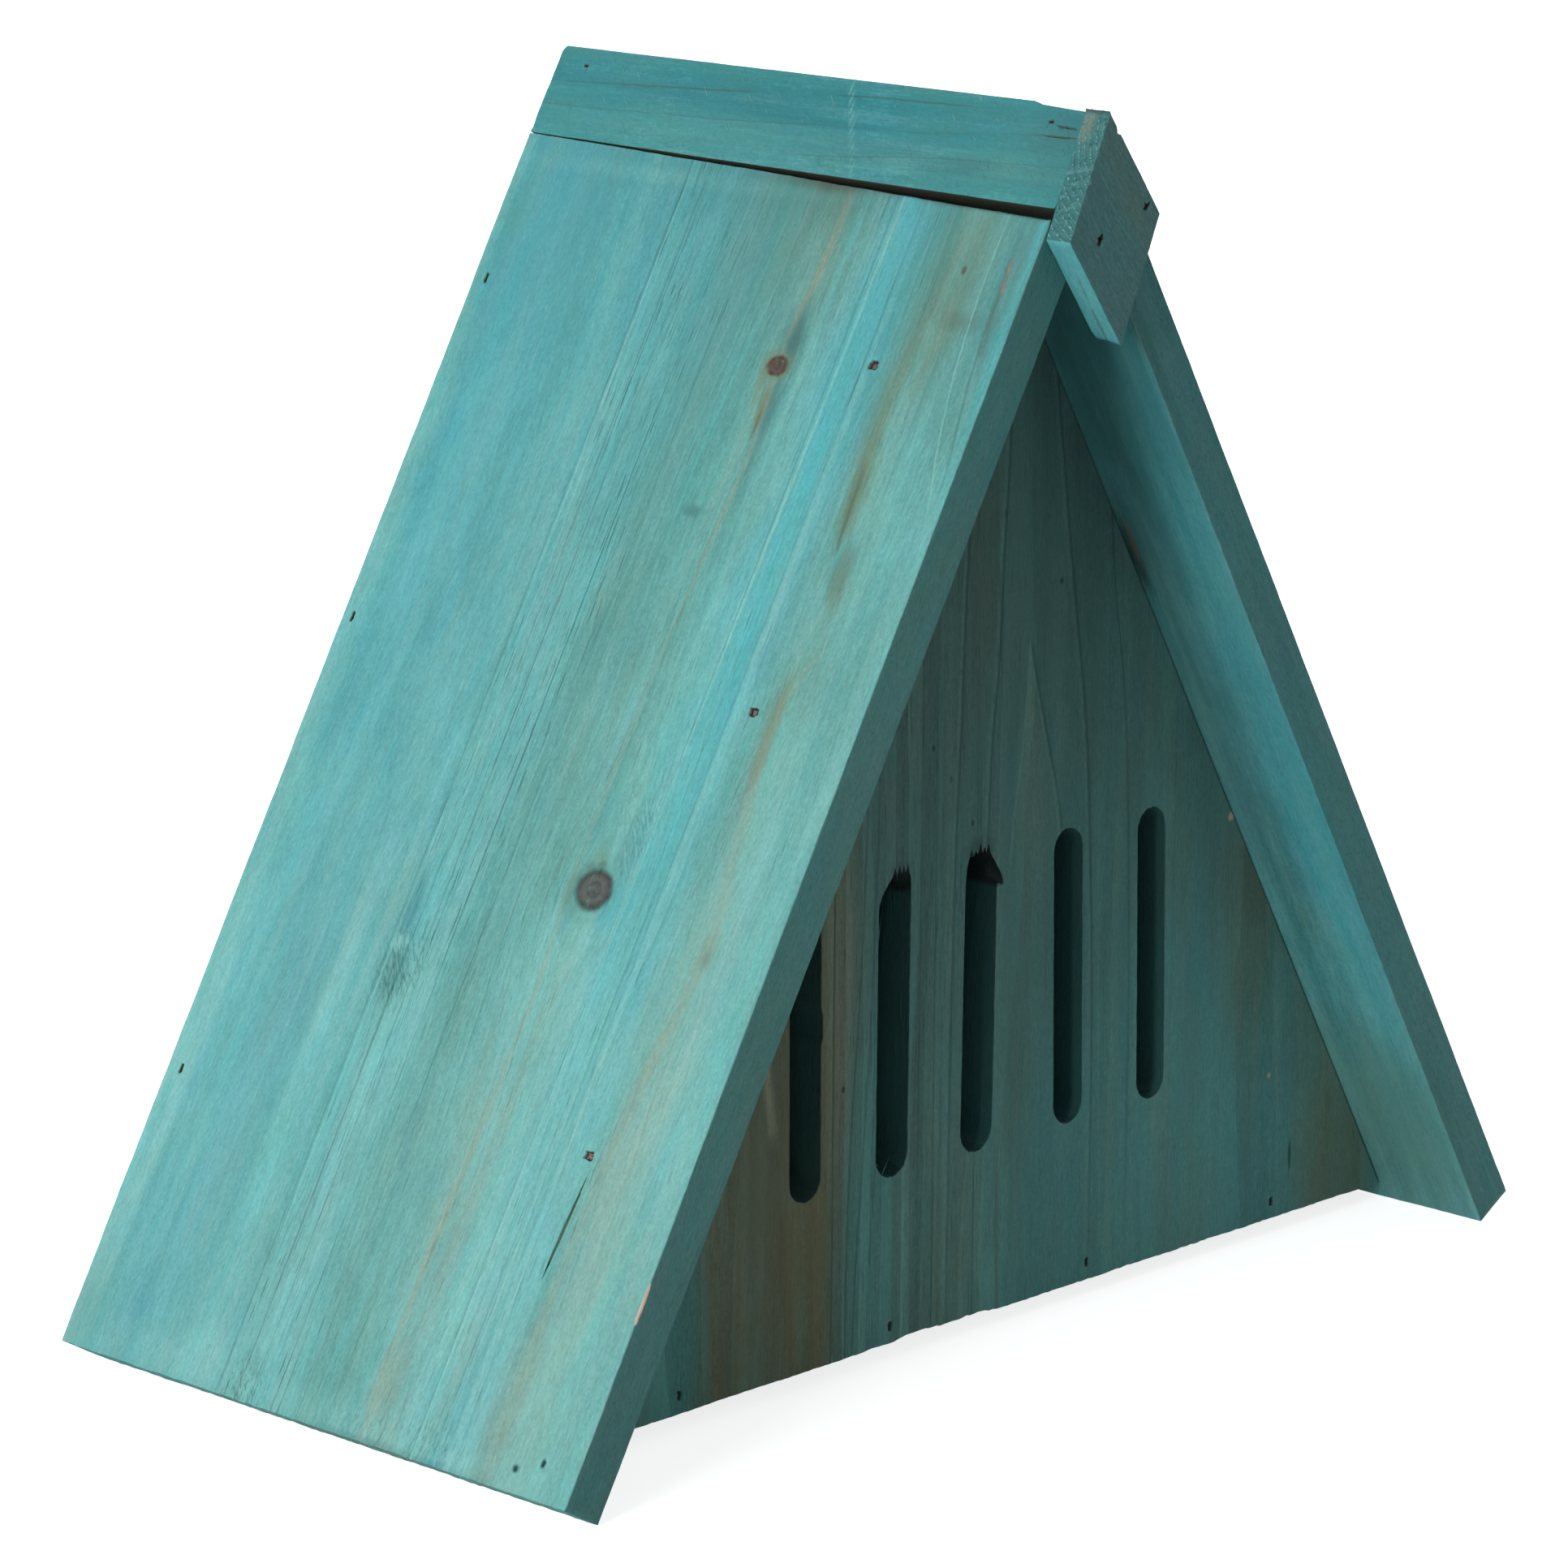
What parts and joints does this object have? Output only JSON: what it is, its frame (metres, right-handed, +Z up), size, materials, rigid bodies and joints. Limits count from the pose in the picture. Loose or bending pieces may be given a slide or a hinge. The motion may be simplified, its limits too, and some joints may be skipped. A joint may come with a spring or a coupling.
{
  "type": "butterfly house",
  "caption": "A-frame wooden butterfly house: roof boards on triangular gables with a floor, vertical entry slots in the front gable, and a ridge cap with a diamond-shaped end plate.",
  "frame": {"origin": "on the surface the house stands on, in the middle of the whole house from side to side and from front to back", "axes": "+X to the right seen from the front, +Y from the slotted front gable to the back, +Z up"},
  "size_m": [0.276, 0.146, 0.244],
  "materials": {
    "roof_wood": "softwood stained pale turquoise, matte, grain showing",
    "gable_wood": "softwood stained deeper teal, matte, grain showing",
    "ridge_wood": "softwood stained turquoise, matte, weathered along the ridge",
    "plate_wood": "softwood stained slate teal, matte, rough end grain",
    "brads": "dull steel, stained over"
  },
  "bodies": {
    "root": {"left_roof_board": "roof_wood", "right_roof_board": "roof_wood", "front_gable": "gable_wood", "back_gable": "gable_wood", "floor_board": "gable_wood", "left_ridge_strip": "ridge_wood", "right_ridge_strip": "ridge_wood", "ridge_end_plate": "plate_wood", "left_front_brads": "brads", "left_back_brads": "brads", "right_front_brads": "brads", "right_back_brads": "brads", "front_floor_brads": "brads", "back_floor_brads": "brads", "ridge_brads": "brads", "end_plate_brads": "brads"}
  },
  "joints": []
}
